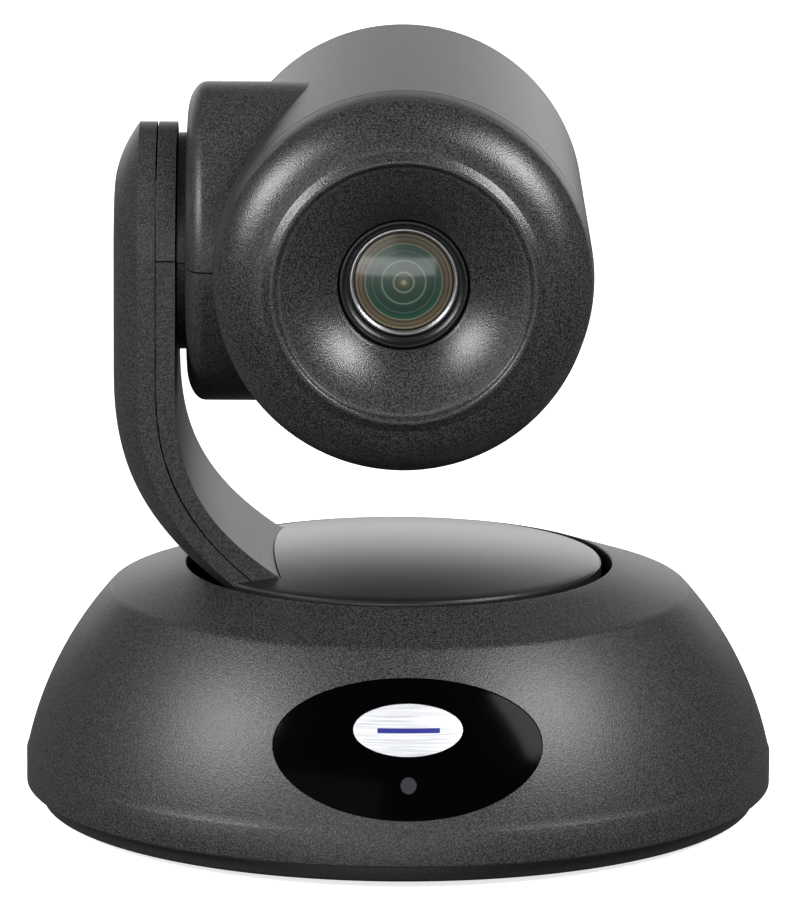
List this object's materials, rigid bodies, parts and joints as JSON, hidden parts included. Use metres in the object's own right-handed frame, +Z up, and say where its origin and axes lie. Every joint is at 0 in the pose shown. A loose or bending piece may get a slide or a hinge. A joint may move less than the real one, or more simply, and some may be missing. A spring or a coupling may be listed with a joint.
{
  "type": "ptz camera",
  "caption": "Conference pan-tilt-zoom camera: round domed base, turntable with one curved side arm, and a barrel head that tilts on a boss held by the arm.",
  "frame": {"origin": "on the table under the pan axis, at the underside of the rubber feet", "axes": "+Z up along the pan axis, -Y where the lens looks at rest, +X to the right seen from the front, away from the arm"},
  "size_m": [0.185, 0.185, 0.1878],
  "materials": {
    "shell_charcoal": "fine spark-eroded charcoal grain",
    "window_gloss": "polished black",
    "nameplate_metal": "brushed, satin",
    "status_lens": "smoked clear",
    "pan_paint": "black powder coat",
    "black_plastic": "moulded black",
    "foot_rubber": "matt",
    "wire_rubber": "satin cable jacket",
    "inner_steel": "zinc plated",
    "cast_aluminium": "machined casting",
    "bright_ring": "turned, bright",
    "brass": "machined",
    "gear_acetal": "natural acetal",
    "circuit_board": "green solder mask",
    "lens_glass": "coated optical glass"
  },
  "bodies": {
    "base": {"base_pan": "pan_paint", "foot_1": "foot_rubber", "foot_2": "foot_rubber", "foot_3": "foot_rubber", "foot_4": "foot_rubber", "cover_screw_1": "inner_steel", "cover_screw_2": "inner_steel", "cover_screw_3": "inner_steel", "cover_screw_4": "inner_steel", "tripod_insert": "brass", "base_cover": "shell_charcoal", "badge_window": "window_gloss", "nameplate": "nameplate_metal", "indicator_lens": "status_lens", "status_board": "circuit_board", "connector_plate": "pan_paint", "power_jack": "black_plastic", "network_jack": "black_plastic", "control_jack": "black_plastic", "usb_jack": "black_plastic", "video_jack": "black_plastic", "main_board": "circuit_board", "pan_frame": "black_plastic", "pan_bearing": "inner_steel", "pan_motor": "inner_steel"},
    "pan_pinion": {"pan_pinion": "brass"},
    "turntable": {"turntable_hub": "cast_aluminium", "pan_gear": "gear_acetal", "turntable_disc": "shell_charcoal", "yoke_bracket": "inner_steel", "arm_outer_cover": "shell_charcoal", "arm_upper_inner_cover": "shell_charcoal", "arm_lower_inner_cover": "shell_charcoal", "tilt_shaft": "inner_steel", "tilt_gear": "gear_acetal", "head_harness": "wire_rubber"},
    "head": {"head_upper_shell": "shell_charcoal", "head_lower_shell": "shell_charcoal", "rear_cap": "shell_charcoal", "trim_ring": "shell_charcoal", "front_bezel": "shell_charcoal", "lens_surround": "black_plastic", "lens_retaining_ring": "bright_ring", "front_lens": "lens_glass", "lens_barrel": "black_plastic", "guide_rod_left": "inner_steel", "guide_rod_right": "inner_steel", "zoom_motor": "inner_steel", "focus_motor": "inner_steel", "sensor_board": "circuit_board", "head_frame": "inner_steel", "tilt_bearing": "inner_steel", "tilt_motor": "inner_steel"},
    "tilt_pinion": {"tilt_pinion": "brass"},
    "zoom_group": {"zoom_cell": "black_plastic", "zoom_lens": "lens_glass"},
    "focus_group": {"focus_cell": "black_plastic", "focus_lens": "lens_glass"}
  },
  "joints": [
    {"name": "pan", "type": "hinge", "parent": "base", "child": "turntable", "pos_m": [0, 0, 0.0575], "axis": [0, 0, 1], "range_deg": [-155, 155]},
    {"name": "tilt", "type": "hinge", "parent": "turntable", "child": "head", "pos_m": [0, 0, 0.1418], "axis": [-1, 0, 0], "range_deg": [-30, 90]},
    {"name": "pan_pinion_spin", "type": "hinge", "parent": "base", "child": "pan_pinion", "pos_m": [0.02475, -0.02475, 0.046], "axis": [0, 0, 1], "continuous": true},
    {"name": "tilt_pinion_spin", "type": "hinge", "parent": "head", "child": "tilt_pinion", "pos_m": [-0.0447, 0.023, 0.1418], "axis": [-1, 0, 0], "continuous": true},
    {"name": "zoom_slide", "type": "slide", "parent": "head", "child": "zoom_group", "axis": [0, -1, 0], "range_m": [-0.004, 0.018]},
    {"name": "focus_slide", "type": "slide", "parent": "head", "child": "focus_group", "axis": [0, -1, 0], "range_m": [-0.004, 0.005]}
  ],
  "couplings": [
    {"joint": "pan_pinion_spin", "follows": "pan", "ratio": -4},
    {"joint": "tilt_pinion_spin", "follows": "tilt", "ratio": 2.2857}
  ]
}
